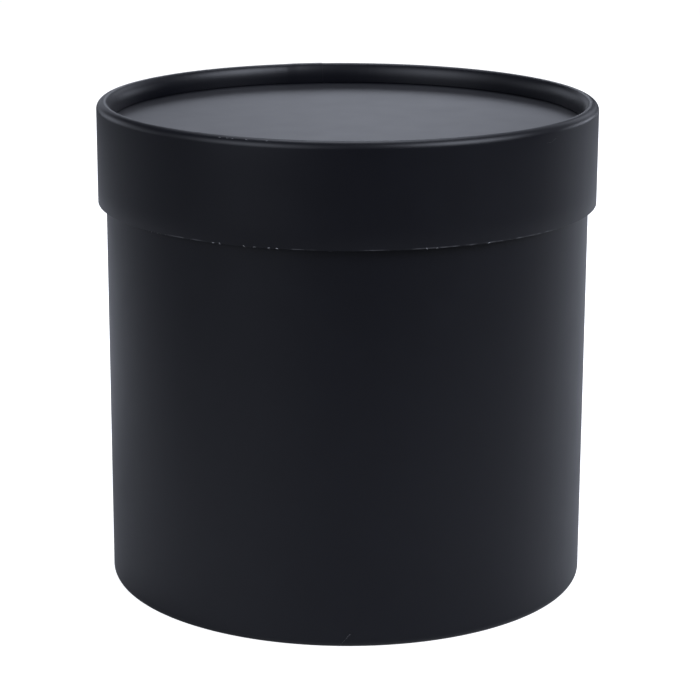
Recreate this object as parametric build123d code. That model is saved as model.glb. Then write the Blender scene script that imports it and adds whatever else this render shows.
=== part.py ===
from build123d import *
import os
from math import asin, degrees, sqrt

# A round gift box made of curled paper tube: a body and a telescoping lid.
# Each half is a wound board tube in a black paper wrap, with a thin lining paper inside.
# One end of the tube is curled inwards through half a turn, tightly outside and in a longer
# curve inside. The curl and its leg trap the flange of a pressed board end, which leaves the
# end sunk below the rolled rim.
# Millimetres, +Z up, origin at the centre of the foot ring.

# Body
BODY_DIAMETER = 150.0    # across the black wrap
BODY_HEIGHT = 143.7      # foot ring to the cut top edge
BASE_RECESS = 6.3        # foot ring to the black face of the base
FOOT_PRESS = 0.1         # how far the forming plate flattens the foot's wrap

# Lid
LID_HEIGHT = 31.1        # cut lower edge to the crown of the rim
LID_RECESS = 6.3         # crown of the rim to the sunk face
LID_PLAY = 0.6           # gap all round between the body and the lid's lining

# Tube wall, from the outside in
WRAP = 0.2
BOARD = 1.5
LINING = 0.2
FILM = 0.02              # glue between one ply and the next, here and on the ends
LEG_REACH = 4.4          # from the crown of the rim to where the curl's inner side is upright

# Pressed ends
END_BOARD = 1.5          # thickness of the flat panel
FLANGE_BOARD = 0.6       # thickness of the flange, squeezed thin by the curl
FACING = 0.2             # black paper on the face that shows
GLUE = 0.05              # glue line on each side of the flange
BEND = 0.2               # inside radius where panel turns into flange
HEEL = 1.0               # outside radius of that turn
FLANGE_TUCK = 0.5        # how far the flange's edge is tucked into the curl, past its upright leg
LEG_GAP = 0.15           # from the sunk face to the curl's cut edge
INNER_PAPER = 0.2        # paper disc on the inside of each end
PAPER_EDGE = 0.6         # bare margin all round that disc

# Wrap seam
SEAM_LAP = 9.0           # width over which the wrap's ends overlap
BODY_SEAM_ANGLE = 90.0   # from +X, so that the seam is at the back
LID_SEAM_ANGLE = 100.0

# What follows from them
BOARD_DEPTH = WRAP + FILM
LINING_DEPTH = BOARD_DEPTH + BOARD + FILM
WALL = LINING_DEPTH + LINING
FLANGE = FLANGE_BOARD + FILM + FACING
NIP = FLANGE + 2 * GLUE
CURL = WALL + NIP / 2    # half the width of the rolled rim, and the radius of its outer side
BODY_RADIUS = BODY_DIAMETER / 2
LID_RADIUS = BODY_RADIUS + LID_PLAY + WALL
END_STACK = FACING + FILM + END_BOARD + FILM + INNER_PAPER
TOTAL_HEIGHT = BODY_HEIGHT + END_STACK + LID_RECESS
BODY_LEG_END = BASE_RECESS - LEG_GAP
LID_LEG_END = LID_RECESS - LEG_GAP
FLANGE_TIP = LEG_REACH - FLANGE_TUCK


def turned(outline, arc=360.0, start=0.0):
    """Revolve an outline, drawn as radius and height, from one angle through an arc."""
    return Rot(0, 0, start) * revolve(Plane.XZ * make_face(outline), Axis.Z, revolution_arc=arc)


def rim_face(centre, depth, press):
    """One face of a ply round the rim, this deep below the outside of the wall.

    A quarter circle leads from the wall to the crown, and a taller quarter ellipse from there
    to the leg. What would pass the plane that the rim stands on is pressed flat.
    """
    across = CURL - depth
    tall = LEG_REACH - depth
    level = CURL - press
    leg_level = LEG_REACH - press
    wall_turn = asin(min(level / across, 1))
    leg_turn = asin(min(leg_level / tall, 1))
    wall_side = sqrt(max(across**2 - level**2, 0))
    leg_side = across * sqrt(max(1 - (leg_level / tall) ** 2, 0))
    face = [
        CenterArc((centre, level), across, 0, -degrees(wall_turn)),
        EllipticalCenterArc((centre, leg_level), across, tall, 180, arc_size=degrees(leg_turn)),
    ]
    if wall_side > 0:
        face.append(Line((centre + wall_side, 0), (centre - leg_side, 0)))
    return face


def curled_outline(radius, height, leg_end, near, far, press=0.0):
    """Outline of one ply of a tube with its rim curled inwards at the bottom.

    near and far are the depths of the ply's two faces below the outside of the wall. press is
    how far the rim is flattened against the plane that it stands on.
    """
    centre = radius - CURL
    level = CURL - press
    leg_level = LEG_REACH - press
    outer = CURL - near
    inner = CURL - far
    return [
        Line((centre + outer, height), (centre + outer, level)),
        *rim_face(centre, near, press),
        Line((centre - outer, leg_level), (centre - outer, leg_end)),
        Line((centre - outer, leg_end), (centre - inner, leg_end)),
        Line((centre - inner, leg_end), (centre - inner, leg_level)),
        *rim_face(centre, far, press),
        Line((centre + inner, level), (centre + inner, height)),
        Line((centre + inner, height), (centre + outer, height)),
    ]


def curled_tube(name, radius, height, leg_end, seam_angle, press=0.0):
    """The three plies of a tube, each wound from the seam and curled inwards at the bottom.

    The black wrap overlaps itself at the seam, all the way up the wall and round the curl. The
    end on top is a ply of its own, sunk half way into the one beneath so that they are one sheet.
    """

    def outline(near, far):
        return curled_outline(radius, height, leg_end, near, far, press)

    lap = degrees(SEAM_LAP / radius)
    sheet = turned(outline(0, WRAP), start=seam_angle)
    overlap = turned(outline(-WRAP, WRAP / 2), lap, seam_angle - lap / 2)
    return {
        f"{name}_tube": turned(outline(BOARD_DEPTH, BOARD_DEPTH + BOARD), start=seam_angle),
        f"{name}_wrap": sheet + overlap,
        f"{name}_lining": turned(outline(LINING_DEPTH, WALL), start=seam_angle),
    }


def pressed_end(radius, recess, press=0.0):
    """Board disc pressed into a shallow cup, with its flange turned down into the curl."""
    rim = radius - WALL - GLUE
    neck = rim - FLANGE_BOARD
    tip = FLANGE_TIP - press
    under = recess + FACING + FILM
    top = under + END_BOARD
    bend = BEND + FACING + FILM
    return turned([
        Line((0, under), (neck - bend, under)),
        TangentArc((neck - bend, under), (neck, under - bend), tangent=(1, 0)),
        Line((neck, under - bend), (neck, tip)),
        Line((neck, tip), (rim, tip)),
        Line((rim, tip), (rim, top - HEEL)),
        TangentArc((rim, top - HEEL), (rim - HEEL, top), tangent=(0, 1)),
        Line((rim - HEEL, top), (0, top)),
        Line((0, top), (0, under)),
    ])


def end_facing(radius, recess, press=0.0):
    """Black paper on the sunk face of a pressed end and down the inside of its flange."""
    outer = radius - WALL - GLUE - FLANGE_BOARD - FILM
    inner = outer - FACING
    tip = FLANGE_TIP - press
    top = recess + FACING
    bend = BEND + FACING
    return turned([
        Line((0, recess), (inner - BEND, recess)),
        TangentArc((inner - BEND, recess), (inner, recess - BEND), tangent=(1, 0)),
        Line((inner, recess - BEND), (inner, tip)),
        Line((inner, tip), (outer, tip)),
        Line((outer, tip), (outer, top - bend)),
        TangentArc((outer, top - bend), (outer - bend, top), tangent=(0, 1)),
        Line((outer - bend, top), (0, top)),
        Line((0, top), (0, recess)),
    ])


def inner_disc(radius, recess):
    """Plain paper disc on the inside of a pressed end."""
    top = recess + END_STACK
    edge = radius - WALL - PAPER_EDGE
    return Pos(0, 0, top - INNER_PAPER) * extrude(Circle(edge), INNER_PAPER)


def body_parts():
    """The six pieces of the box body, which stands on its curled rim."""
    return {
        **curled_tube("body", BODY_RADIUS, BODY_HEIGHT, BODY_LEG_END, BODY_SEAM_ANGLE, FOOT_PRESS),
        "base_end": pressed_end(BODY_RADIUS, BASE_RECESS, FOOT_PRESS),
        "base_end_facing": end_facing(BODY_RADIUS, BASE_RECESS, FOOT_PRESS),
        "floor_paper": inner_disc(BODY_RADIUS, BASE_RECESS),
    }


def lid_parts():
    """The six pieces of the lid, made rim down as the body is, then turned over onto it."""
    made = {
        **curled_tube("lid", LID_RADIUS, LID_HEIGHT, LID_LEG_END, -LID_SEAM_ANGLE),
        "lid_end": pressed_end(LID_RADIUS, LID_RECESS),
        "lid_end_facing": end_facing(LID_RADIUS, LID_RECESS),
        "ceiling_paper": inner_disc(LID_RADIUS, LID_RECESS),
    }
    turn_over = Pos(0, 0, TOTAL_HEIGHT) * Rot(180, 0, 0)
    return {node: turn_over * shape for node, shape in made.items()}


os.makedirs("parts", exist_ok=True)
for node, shape in {**body_parts(), **lid_parts()}.items():
    export_step(shape, f"parts/{node}.step")
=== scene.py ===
from math import acos, ceil, cos, hypot, pi, radians, sin, tan, tau

import bpy
import numpy as np
from mathutils import Matrix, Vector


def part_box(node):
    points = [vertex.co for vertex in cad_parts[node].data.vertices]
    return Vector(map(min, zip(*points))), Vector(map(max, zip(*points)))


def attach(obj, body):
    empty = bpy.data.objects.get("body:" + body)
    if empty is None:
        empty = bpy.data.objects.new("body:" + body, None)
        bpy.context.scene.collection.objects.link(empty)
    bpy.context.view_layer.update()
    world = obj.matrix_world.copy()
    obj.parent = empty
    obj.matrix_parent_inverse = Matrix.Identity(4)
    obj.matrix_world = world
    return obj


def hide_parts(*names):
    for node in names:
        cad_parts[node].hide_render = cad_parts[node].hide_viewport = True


# A round gift box of curled paper tube: satin black paper over greyboard, with a rolled rim, a
# sunk top face and a plain matte inside. Every length is in metres, written as millimetres.

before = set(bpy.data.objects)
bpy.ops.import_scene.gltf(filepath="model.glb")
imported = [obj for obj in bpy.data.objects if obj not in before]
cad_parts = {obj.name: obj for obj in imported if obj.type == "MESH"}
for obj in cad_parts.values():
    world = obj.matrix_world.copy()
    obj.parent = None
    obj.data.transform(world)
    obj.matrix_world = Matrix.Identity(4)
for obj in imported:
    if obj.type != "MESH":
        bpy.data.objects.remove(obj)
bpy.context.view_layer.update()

MM = 0.001

# Plies of the tubes and the pressed ends
WRAP = 0.2 * MM
FILM = 0.02 * MM
BOARD = 1.5 * MM
LINING = 0.2 * MM
FLANGE_BOARD = 0.6 * MM
FACING = 0.2 * MM
GLUE = 0.05 * MM
LEG_REACH = 4.4 * MM
BEND = 0.2 * MM
FLANGE_TUCK = 0.5 * MM
LEG_GAP = 0.15 * MM
FOOT_PRESS = 0.1 * MM
SEAM_LAP = 9.0 * MM
BODY_SEAM = radians(90)
LID_SEAM = radians(100)
BOARD_DEPTH = WRAP + FILM
LINING_DEPTH = BOARD_DEPTH + BOARD + FILM
WALL = LINING_DEPTH + LINING
CURL = WALL + GLUE + (FLANGE_BOARD + FILM + FACING) / 2

# How finely the pieces are turned
WRAP_COLUMNS = 640
PLAIN_COLUMNS = 360
WALL_PITCH = 6.0 * MM
DISC_PITCH = 4.0 * MM
ARC_STEP = radians(22.5)
LEAST_ARC_STEPS = 3
RIM_STEPS = 36
STRAIGHT = radians(1)
SHARP_ANGLE = radians(50)
SAME_PLACE = 1e-9

# Edges and surfaces, as hands and a knife leave them
PAPER_EDGE_ROUND = 0.06 * MM
BOARD_EDGE_ROUND = 0.15 * MM
BOARD_LAYERS = 4
LAYER_GROOVE = 0.05 * MM
STEP_WIDTH = 0.04 * MM
LAP_SLOPE = 4.0 * MM
WALL_WAVE = 0.025 * MM
PLEAT_DEPTH = 0.004 * MM
DISC_WAVE = 0.008 * MM
RAGGED_CUT = 0.03 * MM
RAGGED_REACH = 0.35 * MM
RAGGED_TEETH = 0.5      # how far the teeth change the depth of the ragged cut, as a share of it

# The waves that make these up: fewest and most round the axis, how many are mixed, and their lean
WALL_WAVES = {"fewest": 2, "most": 9, "lean": 20}
PLEATS = {"fewest": 90, "most": 260, "waves": 40, "lean": 120}
ACROSS_DISC = {"fewest": 1, "most": 4, "waves": 8}
AROUND_DISC = {"fewest": 3, "most": 11, "waves": 10}
CUT_TEETH = {"fewest": 120, "most": 700, "waves": 60}


def outer_radius(node):
    """Radius of a node, leaving out +Y, where the body wrap's lap stands proud."""
    low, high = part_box(node)
    return max(-low.x, high.x, -low.y)


class Half:
    """Body or lid. Its outlines are drawn rim down, as a rise from the plane of the rolled rim."""

    def __init__(self, body, radius, height, recess, plane, up, press, seam):
        self.body = body
        self.radius = radius
        self.height = height
        self.recess = recess
        self.plane = plane
        self.up = up
        self.press = press
        self.seam = seam
        self.leg_end = recess - LEG_GAP
        self.lap = SEAM_LAP / radius

    def level(self, rise):
        """Height in the frame of a point that is this far from the rim's plane."""
        return self.plane + self.up * rise


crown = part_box("lid_wrap")[1].z
BOX = Half(
    body="box_body",
    radius=outer_radius("body_wrap"),
    height=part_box("body_wrap")[1].z,
    recess=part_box("base_end_facing")[1].z - FACING,
    plane=0.0,
    up=1,
    press=FOOT_PRESS,
    seam=BODY_SEAM,
)
LID = Half(
    body="lid",
    radius=outer_radius("lid_wrap"),
    height=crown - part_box("lid_wrap")[0].z,
    recess=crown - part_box("lid_end_facing")[0].z - FACING,
    plane=crown,
    up=-1,
    press=0.0,
    seam=LID_SEAM,
)


# Outlines

def filleted(before, corner, after, fillet):
    """Points round one corner of an outline."""
    corner = np.array(corner, float)
    came = corner - before
    goes = after - corner
    came /= hypot(*came)
    goes /= hypot(*goes)
    turn = acos(np.clip(came @ goes, -1, 1))
    if fillet == 0 or turn < STRAIGHT:
        return [corner]
    start = corner - came * fillet * tan(turn / 2)
    side = np.sign(came[0] * goes[1] - came[1] * goes[0])
    inward = side * np.array([-came[1], came[0]])
    centre = start + inward * fillet
    steps = max(LEAST_ARC_STEPS, ceil(turn / ARC_STEP))
    angles = np.linspace(0, turn, steps + 1)[:, None] * side
    spoke = start - centre
    swung = np.array([-spoke[1], spoke[0]])
    return list(centre + spoke * np.cos(angles) + swung * np.sin(angles))


def outline(corners, pitch):
    """Points along an outline of corners (radius, rise, fillet), its long stretches divided.

    The outline is closed, or has both ends on the axis. The material is on its right.
    """
    on_axis = corners[0][0] == 0
    places = [np.array(corner[:2], float) for corner in corners]
    last = len(corners) - 1
    points = []
    for i, (radius, rise, fillet) in enumerate(corners):
        if on_axis and i in (0, last):
            arc = [places[i]]
        else:
            arc = filleted(places[i - 1], places[i], places[(i + 1) % len(corners)], fillet)
        if points:
            points.extend(divided(points[-1], arc[0], pitch))
        joined = points and hypot(*(arc[0] - points[-1])) <= SAME_PLACE
        points.extend(arc[1:] if joined else arc)
    if not on_axis:
        points.extend(divided(points[-1], points[0], pitch))
    return np.array(points)


def divided(start, end, pitch):
    """Points between two others, no further apart than the pitch."""
    steps = ceil(hypot(*(end - start)) / pitch)
    return [start + (end - start) * i / steps for i in range(1, steps)]


def rim_face(half, depth):
    """Corners along one face of a ply round the rim, this deep below the outside of the wall.

    A quarter circle leads from the wall to the crown, and a taller quarter ellipse to the leg.
    """
    centre = half.radius - CURL
    corners = []
    for turn in np.linspace(0, pi, RIM_STEPS + 1):
        reach = CURL if turn < pi / 2 else LEG_REACH
        rise = reach - half.press - (reach - depth) * sin(turn)
        corners.append((centre + (CURL - depth) * cos(turn), rise, 0))
    return corners


def tube_outline(half, near, far, edge, layers=1):
    """One ply of a curled tube, between two depths below the outside of the wall."""
    centre = half.radius - CURL
    outer = CURL - near
    inner = CURL - far
    cut_face = []
    for i in range(1, layers):
        seam = centre + inner + (outer - inner) * i / layers
        cut_face += [
            (seam - LAYER_GROOVE, half.height, 0),
            (seam, half.height - LAYER_GROOVE, 0),
            (seam + LAYER_GROOVE, half.height, 0),
        ]
    return outline([
        (centre + outer, half.height, edge),
        *rim_face(half, near),
        (centre - outer, half.leg_end, edge),
        (centre - inner, half.leg_end, edge),
        *reversed(rim_face(half, far)),
        (centre + inner, half.height, edge),
        *cut_face,
    ], WALL_PITCH)


def facing_outline(half):
    """Black paper on the sunk face of a pressed end and down the inside of its flange."""
    outer = half.radius - WALL - GLUE - FLANGE_BOARD - FILM
    inner = outer - FACING
    tip = LEG_REACH - FLANGE_TUCK - half.press
    top = half.recess + FACING
    return outline([
        (0, top, 0),
        (outer, top, BEND + FACING),
        (outer, tip, 0),
        (inner, tip, 0),
        (inner, half.recess, BEND),
        (0, half.recess, 0),
    ], DISC_PITCH)


def disc_outline(half, node):
    """Plain paper disc on the inside of a pressed end."""
    edge = outer_radius(node)
    bottom, top = sorted(half.up * (side.z - half.plane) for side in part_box(node))
    return outline([
        (0, top, 0),
        (edge, top, PAPER_EDGE_ROUND),
        (edge, bottom, PAPER_EDGE_ROUND),
        (0, bottom, 0),
    ], DISC_PITCH)


# Surfaces

def smooth(share):
    """0 below 0, 1 above 1, and an even slope between."""
    share = np.clip(share, 0, 1)
    return share * share * (3 - 2 * share)


def ripple(seed, fewest, most, waves=12, lean=0.0):
    """A random smooth wave round the axis, of about 1 in size, that leans with height."""
    random = np.random.default_rng(seed)
    counts = random.integers(fewest, most + 1, waves)
    phases = random.uniform(0, tau, waves)
    leans = random.uniform(-lean, lean, waves)
    return lambda angle, rise: sum(
        np.cos(count * angle + phase + tilt * rise) for count, phase, tilt in zip(counts, phases, leans)
    ) / np.sqrt(waves / 2)


def past_lap_edge(half, angle):
    """Angle past the cut edge of the wrap's overlap, from minus half a turn to half a turn."""
    return (angle - half.seam + half.lap / 2 + pi) % tau - pi


def lap_lift(half, angle):
    """1 where the wrap lies double: a sharp step at the cut edge and a soft slope at the other."""
    past = past_lap_edge(half, angle)
    slope = LAP_SLOPE / half.radius
    return np.where(past < 0, 0, 1 - smooth((past - half.lap) / slope))


def columns_of(half, count):
    """Column angles: even steps, and a close pair where the overlap's cut edge makes its step."""
    even = np.arange(count) * tau / count
    step = STEP_WIDTH / half.radius
    clear = np.abs(past_lap_edge(half, even)) > tau / count / 2
    edge = half.seam - half.lap / 2
    return np.sort(np.append(even[clear], [edge - step, edge]) % tau)


def wrap_shift(half, seed):
    """The wrap's surface: slow waves in the wall, fine pleats round the curl, and the lap."""
    wall = ripple(seed, **WALL_WAVES)
    pleats = ripple(seed + 1, **PLEATS)
    centre = half.radius - CURL

    def shift(angle, radius, rise, normal):
        reach = np.where(radius > centre, CURL, LEG_REACH)
        across = (radius - centre) / (CURL - WRAP / 2)
        below = np.maximum(reach - half.press - rise, 0) / (reach - WRAP / 2)
        outside = np.hypot(across, below) > 1
        gathered = smooth((centre + CURL - radius) / CURL)
        move = WALL_WAVE * wall(angle, rise) * smooth(rise / (2 * CURL)) * (radius > centre)
        move = move + PLEAT_DEPTH * pleats(angle, rise) * gathered
        return outside * (move + WRAP * lap_lift(half, angle))

    return shift


def disc_shift(half, seed, reach):
    """A paper disc that has cockled a little, flat again at its rim."""
    across = ripple(seed, **ACROSS_DISC)
    around = ripple(seed + 1, **AROUND_DISC)

    def shift(angle, radius, rise, normal):
        share = radius / reach
        swell = across(angle, rise) * share * np.cos(share * pi / 2)
        swell = swell + around(angle, rise) * share**2 * np.cos(share * pi / 2)
        return DISC_WAVE * swell * np.abs(normal)

    return shift


def plain_shift(angle, radius, rise, normal):
    """No shift at all."""
    return 0 * angle


def turned(name, half, points, columns, shift=plain_shift, ragged=0.0):
    """A mesh object made by turning an outline round the axis.

    shift says how far a point moves out along the outline's normal, from its angle, its place
    and how far its normal points along the axis. ragged roughens the cut edge.
    """
    angles = columns_of(half, columns)
    count = len(angles)
    on_axis = points[0][0] == 0
    radius, rise = points.T
    along = np.roll(points, -1, 0) - np.roll(points, 1, 0)
    if on_axis:
        along[0] = points[1] - points[0]
        along[-1] = points[-1] - points[-2]
    normal = np.stack([-along[:, 1], along[:, 0]], 1) / np.hypot(*along.T)[:, None]
    angle = angles[None, :]
    move = shift(angle, radius[:, None], rise[:, None], normal[:, 1:])
    wide = radius[:, None] + normal[:, :1] * move
    tall = rise[:, None] + normal[:, 1:] * move
    if ragged:
        near_cut = smooth((rise - half.height) / RAGGED_REACH + 1)[:, None]
        teeth = ripple(len(name), **CUT_TEETH)
        tall = tall - near_cut * ragged * (1 + RAGGED_TEETH * teeth(angle, 0))
    tall = np.maximum(tall, 0)
    grid = np.stack([wide * np.cos(angle), wide * np.sin(angle), half.level(tall)], 2)
    ring = np.arange(len(points))
    poles = (radius == 0) if on_axis else np.zeros(len(points), bool)
    starts = np.concatenate([[0], np.cumsum(np.where(poles, 1, count))])
    column = np.arange(count)
    index = [np.full(count, starts[i]) if poles[i] else starts[i] + column for i in ring]
    vertices = np.concatenate([grid[i, :1] if poles[i] else grid[i] for i in ring])
    faces = []
    for i in ring[:-1] if on_axis else ring:
        here, there = index[i], index[(i + 1) % len(points)]
        loops = [here, there, np.roll(there, -1), np.roll(here, -1)]
        if poles[i]:
            loops = loops[:3]
        elif poles[(i + 1) % len(points)]:
            loops = [loops[0], loops[1], loops[3]]
        faces.extend(np.stack(loops[:: half.up], 1).tolist())
    mesh = bpy.data.meshes.new(name)
    mesh.from_pydata(vertices.tolist(), [], faces)
    mesh.shade_smooth()
    mesh.set_sharp_from_angle(angle=SHARP_ANGLE)
    piece = bpy.data.objects.new(name, mesh)
    bpy.context.scene.collection.objects.link(piece)
    return piece


def stand_for(piece, half, material, slot, *nodes):
    """Put a piece on its body, in its material, in the place of its CAD nodes."""
    piece.data.materials.append(material)
    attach(piece, half.body)
    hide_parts(*nodes)


def from_front(degrees_right):
    """Angle from +X of a place this many degrees to the right of the front."""
    return radians(degrees_right - 90)


# Stretches of the lid's cut edge painted pale, partly wear and partly a painted highlight of light
# catching the edge: from, to, in degrees to the right of the front, and how strong
WEAR_AND_HIGHLIGHT_STRETCHES = [(-43, -31, 1.0), (-14, -6, 0.8), (2, 9, 0.9), (12, 52, 0.9)]
WEAR_AND_HIGHLIGHT_FADE = 3.0
WEAR_AND_HIGHLIGHT_HEIGHT = 0.5 * MM


def mark_wear_and_edge_highlight(piece):
    """Keep with each point of the lid's paper how strong the wear and the painted highlight of its cut
    edge are at its angle.
    """
    count = len(piece.data.vertices)
    places = np.empty(count * 3)
    piece.data.vertices.foreach_get("co", places)
    x, y, _ = places.reshape(count, 3).T
    right = np.degrees(np.arctan2(x, -y))
    worn = 0 * right
    for start, end, level in WEAR_AND_HIGHLIGHT_STRETCHES:
        worn += level * smooth((right - start) / WEAR_AND_HIGHLIGHT_FADE) * smooth((end - right) / WEAR_AND_HIGHLIGHT_FADE)
    piece.data.attributes.new("wear_and_edge_highlight", "FLOAT", "POINT").data.foreach_set("value", worn)


# Lint, and a painted crease highlight

STRAND_SIDES = 5
STRAND_STEPS = 8
STRAND_BEND = 0.5
STRAND_RADIUS = 0.35    # of its thickness, half way along
STRAND_TAPER = 0.3

# Places are in degrees to the right of the front, leans in degrees from level, ranges in millimetres
EDGE_FIBRES = (-29.6, -28.0, -22.2, -19.8, -16.6, -14.8, 17.0, 19.3, 31.7)
EDGE_LENGTH = (0.45, 0.75)
EDGE_LEAN = (-50, 20)
EDGE_THICK = 0.2 * MM
EDGE_RISE = 0.1 * MM
FUZZ_COUNT = 70
FUZZ_LENGTH = (0.15, 0.5)
FUZZ_LEAN = (-90, 0)
FUZZ_THICK = (0.02, 0.05)
CROWN_FIBRES = (-28.1, -26.3, -25.0, -21.8, -17.2)
CROWN_SLOPE = radians(52)
CROWN_LENGTH = 0.6 * MM
CROWN_THICK = 0.14 * MM
# A thin pale strand under the rim on the right, which paints the highlight of a crease in the wrap
CREASE_HIGHLIGHT = {"degrees_right": 50, "length": 6 * MM, "thick": 0.012 * MM, "lean": 12}
CREASE_HIGHLIGHT_DROP = 4.5 * MM
HAIR = {"degrees_right": -0.3, "length": 5.4 * MM, "thick": 0.03 * MM, "lean": 51}
HAIR_HEIGHT = 2.4 * MM
HAIR_CLEARANCE = 0.04 * MM


class Lint:
    """Pale fibres on one body, gathered into one mesh; on the lid, also a strand that paints a crease
    highlight.
    """

    def __init__(self, seed):
        self.random = np.random.default_rng(seed)
        self.vertices = []
        self.faces = []

    def add(self, degrees_right, radius, height, length, thick, lean):
        """One bent, tapered fibre that lies on a round wall, at this many degrees from level."""
        turn = from_front(degrees_right)
        out = np.array([cos(turn), sin(turn), 0])
        side = np.array([-sin(turn), cos(turn), 0])
        up = np.array([0, 0, 1])
        way = side * cos(radians(lean)) + up * sin(radians(lean))
        across = np.cross(out, way)
        bend = self.random.uniform(-STRAND_BEND, STRAND_BEND)
        base = len(self.vertices)
        for step in range(STRAND_STEPS + 1):
            share = step / STRAND_STEPS - 0.5
            spot = out * radius + up * height + length * (way * share + across * bend * share**2)
            spot[:2] *= radius / hypot(*spot[:2])
            wide = thick * (STRAND_RADIUS - STRAND_TAPER * share)
            for k in range(STRAND_SIDES):
                around = tau * k / STRAND_SIDES
                self.vertices.append(spot + wide * (out * cos(around) + across * sin(around)))
        for step in range(STRAND_STEPS):
            ring = base + step * STRAND_SIDES
            for k in range(STRAND_SIDES):
                beside = (k + 1) % STRAND_SIDES
                below, above = ring, ring + STRAND_SIDES
                self.faces.append((below + k, below + beside, above + beside, above + k))
        last = base + STRAND_STEPS * STRAND_SIDES
        self.faces.append(tuple(range(base + STRAND_SIDES - 1, base - 1, -1)))
        self.faces.append(tuple(range(last, last + STRAND_SIDES)))

    def finish(self, name, body, material):
        """Make the fibres' mesh object and put it on its body."""
        mesh = bpy.data.meshes.new(name)
        mesh.from_pydata([tuple(spot) for spot in self.vertices], [], self.faces)
        mesh.shade_smooth()
        mesh.materials.append(material)
        piece = bpy.data.objects.new(name, mesh)
        bpy.context.scene.collection.objects.link(piece)
        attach(piece, body)


def add_lint_and_crease_highlight():
    """Paper fibres at the lid's cut edge and on its rim, a thin pale strand under the rim that paints
    the highlight of a crease, and a hair at the body's foot.
    """
    fibre = pale_fibre_and_crease_highlight()
    lint_and_crease_highlight = Lint(seed=5)
    edge = LID.level(LID.height)
    skin = LID.radius - WRAP / 2
    for degrees_right in EDGE_FIBRES:
        length = lint_and_crease_highlight.random.uniform(*EDGE_LENGTH) * MM
        lean = lint_and_crease_highlight.random.uniform(*EDGE_LEAN)
        lint_and_crease_highlight.add(degrees_right, LID.radius, edge + EDGE_RISE, length, EDGE_THICK, lean)
    for _ in range(FUZZ_COUNT):
        degrees_right = lint_and_crease_highlight.random.uniform(-180, 180)
        length = lint_and_crease_highlight.random.uniform(*FUZZ_LENGTH) * MM
        lean = lint_and_crease_highlight.random.uniform(*FUZZ_LEAN)
        thick = lint_and_crease_highlight.random.uniform(*FUZZ_THICK) * MM
        lint_and_crease_highlight.add(degrees_right, skin, edge, length, thick, lean)
    radius = LID.radius - CURL + CURL * cos(CROWN_SLOPE)
    height = crown - CURL + CURL * sin(CROWN_SLOPE)
    for degrees_right in CROWN_FIBRES:
        lint_and_crease_highlight.add(degrees_right, radius, height, CROWN_LENGTH, CROWN_THICK, 0)
    # The thin pale strand that paints the crease highlight
    lint_and_crease_highlight.add(radius=LID.radius, height=crown - CREASE_HIGHLIGHT_DROP, **CREASE_HIGHLIGHT)
    lint_and_crease_highlight.finish("lid_lint_and_crease_highlight", LID.body, fibre)
    hair = Lint(seed=6)
    hair.add(radius=BOX.radius + HAIR_CLEARANCE, height=HAIR_HEIGHT, **HAIR)
    hair.finish("body_lint", BOX.body, fibre)


# Materials

def make(tree, kind, sockets=None, **settings):
    """Add a node, with settings as its properties and a value or a link for each socket named."""
    made = tree.nodes.new(kind)
    for key, value in settings.items():
        setattr(made, key, value)
    for key, value in (sockets or {}).items():
        if isinstance(value, bpy.types.NodeSocket):
            tree.links.new(value, made.inputs[key])
        else:
            made.inputs[key].default_value = value
    return made


def noise(tree, place, scale, detail=2.0, roughness=0.5):
    """A noise between 0 and 1 whose features are about 1 / scale across."""
    sockets = {"Vector": place, "Scale": scale, "Detail": detail, "Roughness": roughness}
    return make(tree, "ShaderNodeTexNoise", sockets).outputs["Fac"]


def spread(tree, value, low, high, to_low=0.0, to_high=1.0, curve="LINEAR"):
    """A value's range from low to high, stretched onto another range."""
    sockets = {"Value": value, "From Min": low, "From Max": high, "To Min": to_low, "To Max": to_high}
    return make(tree, "ShaderNodeMapRange", sockets, interpolation_type=curve).outputs["Result"]


def blend_colours(tree, share, one, other):
    """The first colour at a share of 0, the other at 1."""
    mix = make(tree, "ShaderNodeMix", {"Factor": share, "A": one, "B": other}, data_type="RGBA")
    return mix.outputs[2]


def new_tree(name):
    """An empty material and its node tree."""
    material = bpy.data.materials.new(name)
    material.use_nodes = True
    material.node_tree.nodes.clear()
    return material, material.node_tree


def finish_material(tree, colour, roughness, bump, specular):
    """The shader and the output of a paper or board material."""
    shader = make(tree, "ShaderNodeBsdfPrincipled", {
        "Base Color": colour,
        "Roughness": roughness,
        "Normal": bump,
        "Specular IOR Level": specular,
    })
    make(tree, "ShaderNodeOutputMaterial", {"Surface": shader.outputs["BSDF"]})


# Colours of each material, its clouds going from deep to pale
WRAP_DEEP = (0.0018, 0.0019, 0.0034, 1)
WRAP_PALE = (0.0024, 0.0026, 0.0046, 1)
# Pale colour of the lid's cut edge: partly wear, partly a painted highlight
WEAR_AND_HIGHLIGHT_COLOUR = (0.07, 0.07, 0.074, 1)
MATTE_DEEP = (0.010, 0.010, 0.011, 1)
MATTE_PALE = (0.020, 0.020, 0.021, 1)
# Fibre colours, also used for the painted highlight of a crease
FIBRE_AND_HIGHLIGHT_DEEP = (0.24, 0.24, 0.25, 1)
FIBRE_AND_HIGHLIGHT_PALE = (0.38, 0.38, 0.39, 1)
BOARD_DEEP = (0.30, 0.27, 0.235, 1)
BOARD_PALE = (0.42, 0.39, 0.35, 1)
BOARD_BAND = (0.24, 0.22, 0.195, 1)
BOARD_FLECK = (0.12, 0.11, 0.10, 1)

WRAP_SPECULAR = 0.25
PLAIN_SPECULAR = 0.3
WRAP_ROUGHNESS = (0.40, 0.42)
MATTE_ROUGHNESS = (0.72, 0.9)
BOARD_ROUGHNESS = (0.8, 0.95)
FIBRE_ROUGHNESS = 0.8


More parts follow.
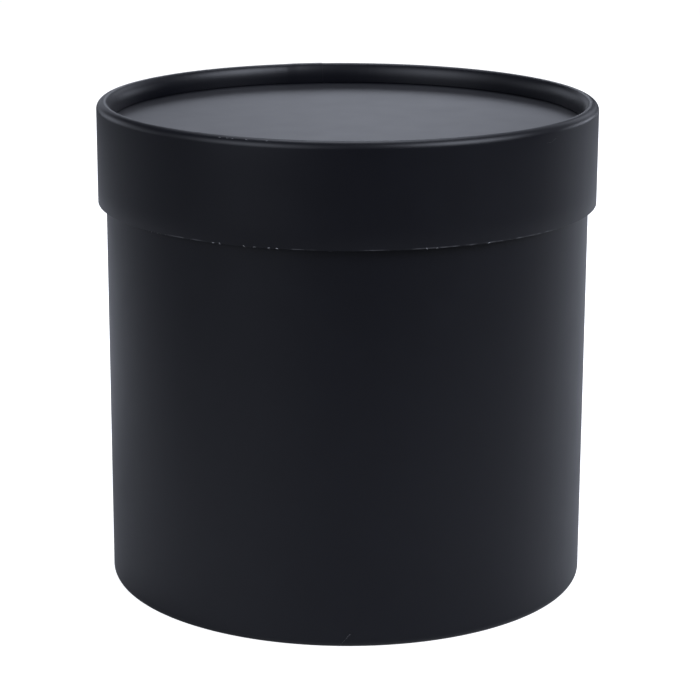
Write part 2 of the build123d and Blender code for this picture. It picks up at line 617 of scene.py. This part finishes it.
def satin_paper(name):
    """Black paper with a satin coat: fine felt grain, clouds of gloss and a soft bloom, and a pale band
    along the lid's cut edge that is partly wear and partly a painted highlight.
    """
    material, tree = new_tree(name)
    place = make(tree, "ShaderNodeTexCoord").outputs["Object"]
    cloud = noise(tree, place, scale=90, detail=3)
    grain = noise(tree, place, scale=2600, detail=3, roughness=0.6)
    fibre = noise(tree, place, scale=700, detail=2)
    colour = blend_colours(tree, cloud, WRAP_DEEP, WRAP_PALE)
    # The lid's cut edge is painted pale here: partly wear, partly a painted highlight of light catching
    # it
    worn = make(tree, "ShaderNodeAttribute", attribute_name="wear_and_edge_highlight").outputs["Fac"]
    height = make(tree, "ShaderNodeSeparateXYZ", {0: place}).outputs["Z"]
    edge = LID.level(LID.height)
    band = spread(tree, height, edge, edge + WEAR_AND_HIGHLIGHT_HEIGHT, 1, 0, curve="SMOOTHSTEP")
    patches = spread(tree, noise(tree, place, scale=350, detail=3), 0.4, 0.6)
    for share in (band, patches):
        worn = make(tree, "ShaderNodeMath", {0: worn, 1: share}, operation="MULTIPLY").outputs[0]
    colour = blend_colours(tree, worn, colour, WEAR_AND_HIGHLIGHT_COLOUR)
    roughness = spread(tree, cloud, 0.3, 0.7, *WRAP_ROUGHNESS)
    relief = make(tree, "ShaderNodeMath", {0: grain, 1: fibre}, operation="ADD").outputs[0]
    bump = make(tree, "ShaderNodeBump", {"Strength": 0.06, "Distance": 0.02 * MM, "Height": relief})
    finish_material(tree, colour, roughness, bump.outputs[0], WRAP_SPECULAR)
    return material


def matte_paper():
    """Uncoated black lining paper, soft and fibrous."""
    material, tree = new_tree("matte_black_paper")
    place = make(tree, "ShaderNodeTexCoord").outputs["Object"]
    cloud = noise(tree, place, scale=140, detail=4)
    grain = noise(tree, place, scale=1500, detail=4, roughness=0.7)
    colour = blend_colours(tree, cloud, MATTE_DEEP, MATTE_PALE)
    roughness = spread(tree, grain, 0.2, 0.8, *MATTE_ROUGHNESS)
    bump = make(tree, "ShaderNodeBump", {"Strength": 0.25, "Distance": 0.05 * MM, "Height": grain})
    finish_material(tree, colour, roughness, bump.outputs[0], PLAIN_SPECULAR)
    return material


def pale_fibre_and_crease_highlight():
    """Paper fibre and dust, greyish white; also the colour of the painted crease highlight."""
    material, tree = new_tree("pale_fibre_and_crease_highlight")
    place = make(tree, "ShaderNodeTexCoord").outputs["Object"]
    mottle = noise(tree, place, scale=3000)
    colour = blend_colours(tree, mottle, FIBRE_AND_HIGHLIGHT_DEEP, FIBRE_AND_HIGHLIGHT_PALE)
    bump = make(tree, "ShaderNodeBump", {"Strength": 0.1, "Distance": 0.01 * MM, "Height": mottle})
    finish_material(tree, colour, FIBRE_ROUGHNESS, bump.outputs[0], PLAIN_SPECULAR)
    return material


def greyboard():
    """Raw board of recycled pulp, in wound layers, with flecks."""
    material, tree = new_tree("greyboard")
    place = make(tree, "ShaderNodeTexCoord").outputs["Object"]
    cloud = noise(tree, place, scale=180, detail=4)
    fleck = noise(tree, place, scale=1400, detail=3, roughness=0.7)
    flat = make(tree, "ShaderNodeVectorMath", {0: place, 1: (1, 1, 0)}, operation="MULTIPLY")
    out = make(tree, "ShaderNodeVectorMath", {0: flat.outputs[0]}, operation="LENGTH")
    depth = make(tree, "ShaderNodeCombineXYZ", {0: out.outputs["Value"]}).outputs[0]
    layer = noise(tree, depth, scale=2600)
    body = blend_colours(tree, cloud, BOARD_DEEP, BOARD_PALE)
    banded = blend_colours(tree, spread(tree, layer, 0.35, 0.65), body, BOARD_BAND)
    colour = blend_colours(tree, spread(tree, fleck, 0.6, 0.75), banded, BOARD_FLECK)
    bump = make(tree, "ShaderNodeBump", {"Strength": 0.5, "Distance": 0.08 * MM, "Height": fleck})
    roughness = spread(tree, fleck, 0.2, 0.8, *BOARD_ROUGHNESS)
    finish_material(tree, colour, roughness, bump.outputs[0], PLAIN_SPECULAR)
    return material


def dress():
    """Every piece of the box."""
    wrap = satin_paper("satin_black_paper")
    lining = matte_paper()
    board = greyboard()
    # Half, start of its pieces' names, nodes that they stand for, seed of its waves
    sets = [
        (BOX, "body", ("body_wrap", "body_tube", "body_lining"), 11),
        (LID, "lid", ("lid_wrap", "lid_tube", "lid_lining"), 31),
    ]
    for half, name, (wrap_node, board_node, lining_node), seed in sets:
        paper = tube_outline(half, 0, WRAP, PAPER_EDGE_ROUND)
        shift = wrap_shift(half, seed)
        piece = turned(f"{name}_paper", half, paper, WRAP_COLUMNS, shift, RAGGED_CUT)
        # The lid's paper carries the wear and the painted highlight of its cut edge
        if half is LID:
            mark_wear_and_edge_highlight(piece)
        stand_for(piece, half, wrap, "black_wrap", wrap_node)
        core = tube_outline(half, BOARD_DEPTH, BOARD_DEPTH + BOARD, BOARD_EDGE_ROUND, BOARD_LAYERS)
        piece = turned(f"{name}_board", half, core, PLAIN_COLUMNS, ragged=RAGGED_CUT)
        stand_for(piece, half, board, "greyboard", board_node)
        inside = tube_outline(half, LINING_DEPTH, WALL, PAPER_EDGE_ROUND)
        piece = turned(f"{name}_inner_paper", half, inside, PLAIN_COLUMNS, ragged=RAGGED_CUT)
        stand_for(piece, half, lining, "black_lining", lining_node)
    ends = [
        (BOX, "base_face_paper", "base_end_facing", "floor_paper", 51),
        (LID, "lid_face_paper", "lid_end_facing", "ceiling_paper", 71),
    ]
    for half, name, facing_node, disc_node, seed in ends:
        reach = outer_radius(facing_node)
        shift = disc_shift(half, seed, reach)
        piece = turned(name, half, facing_outline(half), PLAIN_COLUMNS, shift)
        stand_for(piece, half, wrap, "black_wrap", facing_node)
        shift = disc_shift(half, seed + 5, reach)
        disc = disc_outline(half, disc_node)
        piece = turned(f"{disc_node}_disc", half, disc, PLAIN_COLUMNS, shift)
        stand_for(piece, half, lining, "black_lining", disc_node)
    for node in ("base_end", "lid_end"):
        material_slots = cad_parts[node].data.materials
        material_slots.clear()
        material_slots.append(board)


# Camera, fitted to the photograph's outline, its angles in radians

PICTURE_SIDE = 700
FOCAL_PIXELS = 2440.0
SENSOR = 36.0
CAMERA_PLACE = (0.0, -0.7495, 0.2717)
CAMERA_DROP = 0.2613
CAMERA_YAW = 0.0014
CAMERA_ROLL = 0.0042
CAMERA_CLIP = (0.01, 100)


def add_camera():
    """The photograph's camera."""
    lens = bpy.data.cameras.new("camera")
    lens.sensor_width = SENSOR
    lens.lens = FOCAL_PIXELS * SENSOR / PICTURE_SIDE
    lens.clip_start, lens.clip_end = CAMERA_CLIP
    camera = bpy.data.objects.new("camera", lens)
    bpy.context.scene.collection.objects.link(camera)
    yaw = Matrix.Rotation(-CAMERA_YAW, 4, "Z")
    tilt = Matrix.Rotation(pi / 2 - CAMERA_DROP, 4, "X")
    roll = Matrix.Rotation(CAMERA_ROLL, 4, "Z")
    camera.matrix_world = Matrix.Translation(CAMERA_PLACE) @ yaw @ tilt @ roll
    bpy.context.scene.camera = camera


# Floor and light

FLOOR_RADIUS = 8.0
FLOOR_SIDES = 96
FLOOR_ROUGHNESS = 0.9
# A pool of light painted into the floor's colour: pale near the box, nearly black far off
PAINTED_POOL_NEAR = (0.62, 0.62, 0.62, 1)
PAINTED_POOL_FAR = (0.02, 0.02, 0.02, 1)
POOL_CENTRE = (0.12, 0.25, 0.0)
POOL_RANGE = (0.18, 1.10)
LIFT_RANGE = (0.85, 1.0)


def add_floor():
    """A floor with a pool of light painted into its colour, which the camera sees as white with the
    object's soft shadow.
    """
    mesh = bpy.data.meshes.new("floor")
    around = np.linspace(0, tau, FLOOR_SIDES, endpoint=False)
    rim = np.stack([np.cos(around), np.sin(around), 0 * around], 1) * FLOOR_RADIUS
    mesh.from_pydata(rim.tolist(), [], [list(range(len(rim)))])
    floor = bpy.data.objects.new("floor", mesh)
    bpy.context.scene.collection.objects.link(floor)
    material, tree = new_tree("pale_floor")
    place = make(tree, "ShaderNodeTexCoord").outputs["Object"]
    away = make(tree, "ShaderNodeVectorMath", {0: place, 1: POOL_CENTRE}, operation="DISTANCE")
    share = spread(tree, away.outputs["Value"], *POOL_RANGE, curve="SMOOTHSTEP")
    camera_ray = make(tree, "ShaderNodeLightPath").outputs["Is Camera Ray"]
    lift = spread(tree, share, 0, 1, *LIFT_RANGE)
    seen = make(tree, "ShaderNodeMath", {0: camera_ray, 1: lift}, operation="MULTIPLY")
    shader = make(tree, "ShaderNodeBsdfPrincipled", {
        "Base Color": blend_colours(tree, share, PAINTED_POOL_NEAR, PAINTED_POOL_FAR),
        "Roughness": FLOOR_ROUGHNESS,
        "Specular IOR Level": 0.0,
        "Emission Color": (1, 1, 1, 1),
        "Emission Strength": seen.outputs[0],
    })
    make(tree, "ShaderNodeOutputMaterial", {"Surface": shader.outputs["BSDF"]})
    mesh.materials.append(material)


LIGHT_COLOUR = (0.945, 1.0, 1.15, 1)
# Soft round lights far off: way from +X, height, half angle and soft edge in degrees, strength
LIGHTS = [
    (331, 39, 18.5, 5, 10.2),
    (224, 27, 12, 25, 8.3),
    (165, 8, 10, 8, 1.6),
    (135, 8, 10, 8, 2.3),
    (105, 8, 8, 8, 1.2),
    (89, 18, 6, 5, 3.1),
    (90, 60, 15, 10, 5.0),
    (60, 20, 10, 8, 1.9),
    (43, -5, 12.5, 5, 6.1),
]


def add_sky():
    """White to the camera. To everything else, a dark studio with soft lights round the box."""
    world = bpy.data.worlds.new("studio")
    bpy.context.scene.world = world
    world.use_nodes = True
    tree = world.node_tree
    tree.nodes.clear()
    way = make(tree, "ShaderNodeTexCoord").outputs["Generated"]
    total = 0.0
    for turn, height, half_angle, soft, strength in LIGHTS:
        turn, height = radians(turn), radians(height)
        centre = (cos(height) * cos(turn), cos(height) * sin(turn), sin(height))
        aligned = make(tree, "ShaderNodeVectorMath", {0: way, 1: centre}, operation="DOT_PRODUCT")
        off = make(tree, "ShaderNodeMath", {0: aligned.outputs["Value"]}, operation="ARCCOSINE")
        bright = radians(half_angle - soft)
        dark = radians(half_angle + soft)
        glow = spread(tree, off.outputs[0], bright, dark, strength, 0, curve="SMOOTHSTEP")
        total = make(tree, "ShaderNodeMath", {0: total, 1: glow}, operation="ADD").outputs[0]
    light = make(tree, "ShaderNodeBackground", {"Color": LIGHT_COLOUR, "Strength": total})
    white = make(tree, "ShaderNodeBackground", {"Color": (1, 1, 1, 1), "Strength": 1.0})
    seen = make(tree, "ShaderNodeLightPath").outputs["Is Camera Ray"]
    both = make(tree, "ShaderNodeMixShader", {0: seen, 1: light.outputs[0], 2: white.outputs[0]})
    make(tree, "ShaderNodeOutputWorld", {"Surface": both.outputs[0]})


add_camera()
dress()
add_lint_and_crease_highlight()
add_floor()
add_sky()

view = bpy.context.scene.view_settings
view.view_transform = "Standard"
